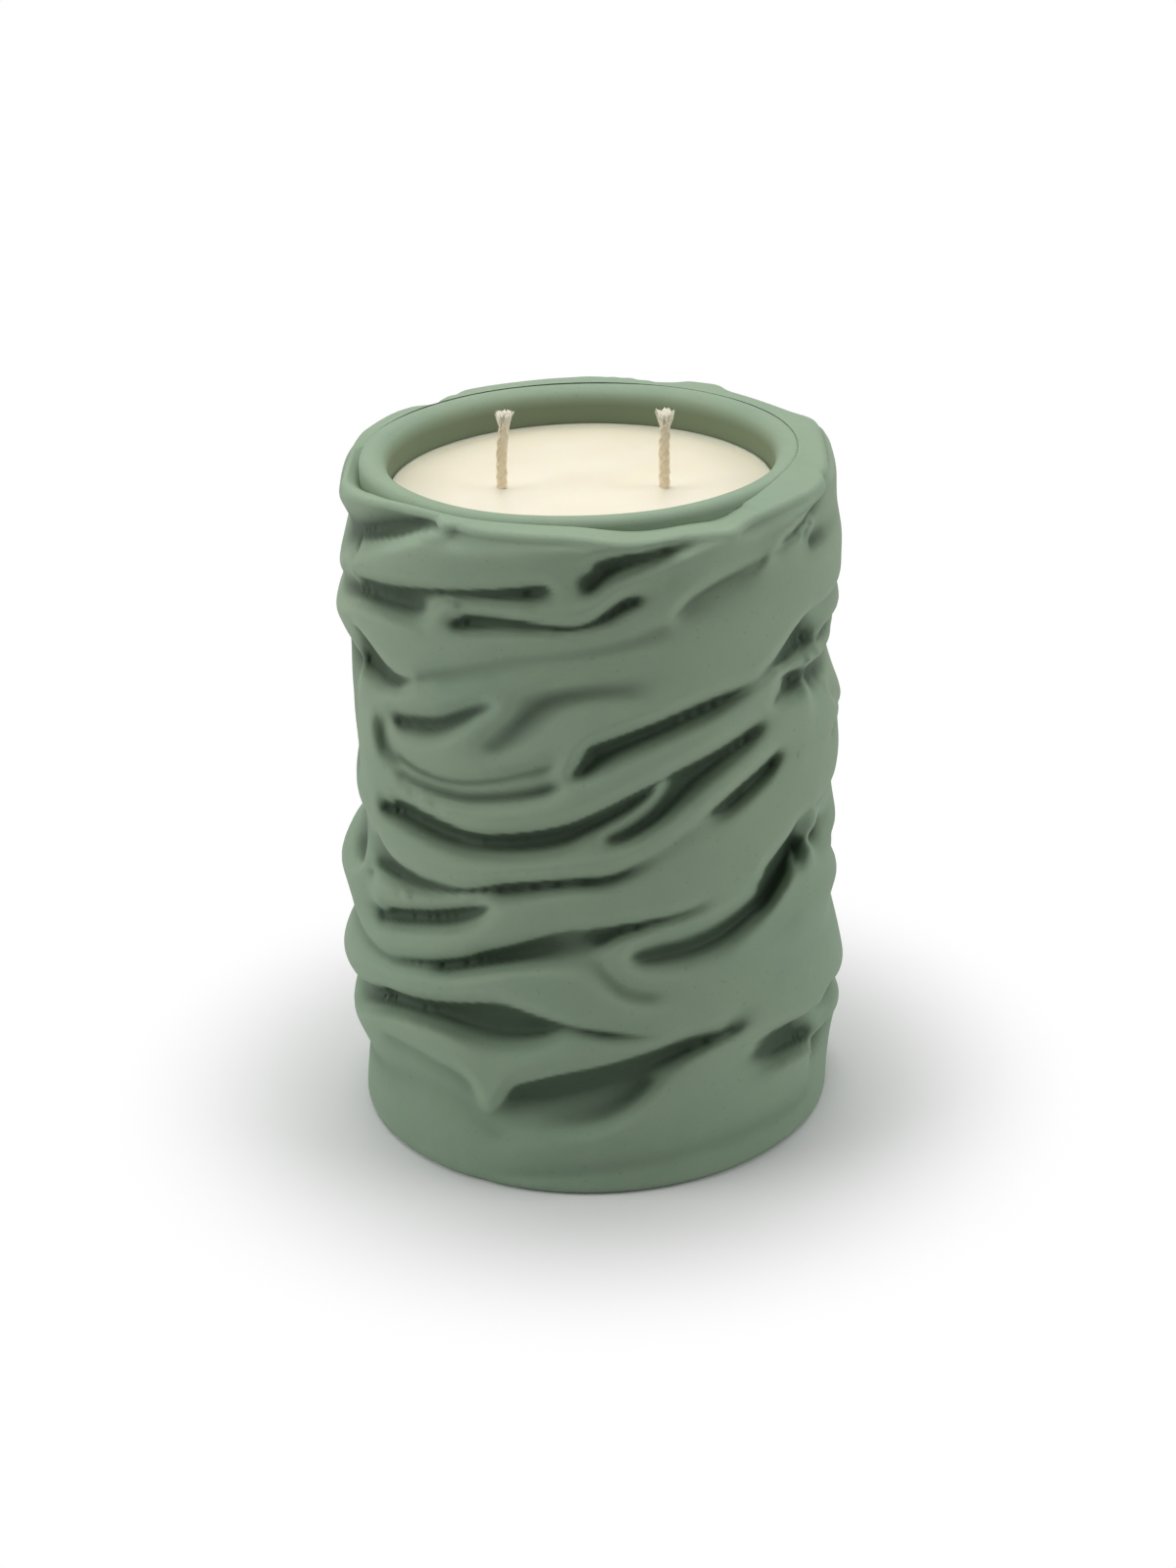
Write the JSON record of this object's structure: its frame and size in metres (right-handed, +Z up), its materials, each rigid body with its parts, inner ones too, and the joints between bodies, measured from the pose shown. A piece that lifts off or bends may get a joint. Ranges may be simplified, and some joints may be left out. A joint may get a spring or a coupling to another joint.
{
  "type": "candle",
  "caption": "Cylindrical container candle: pale wax with braided wicks in a plain cup, wrapped from rim to foot in a sculpted sheet of draped folds.",
  "frame": {"origin": "middle of the flat underside, on the cup's axis", "axes": "+Z up along the cup's axis, -Y towards the viewer of the picture, +X to the viewer's right"},
  "size_m": [0.1033, 0.1018, 0.148],
  "materials": {
    "cup_ceramic": "matte",
    "drape_ceramic": "matte",
    "wax": "satin",
    "wick_cotton": "matte",
    "clip_tin": "satin",
    "sticker_foam": "matte"
  },
  "bodies": {
    "root": {"cup": "cup_ceramic", "drape": "drape_ceramic", "wax": "wax", "wick_left": "wick_cotton", "wick_right": "wick_cotton", "wick_clip_left": "clip_tin", "wick_clip_right": "clip_tin", "wick_sticker_left": "sticker_foam", "wick_sticker_right": "sticker_foam"}
  },
  "joints": []
}
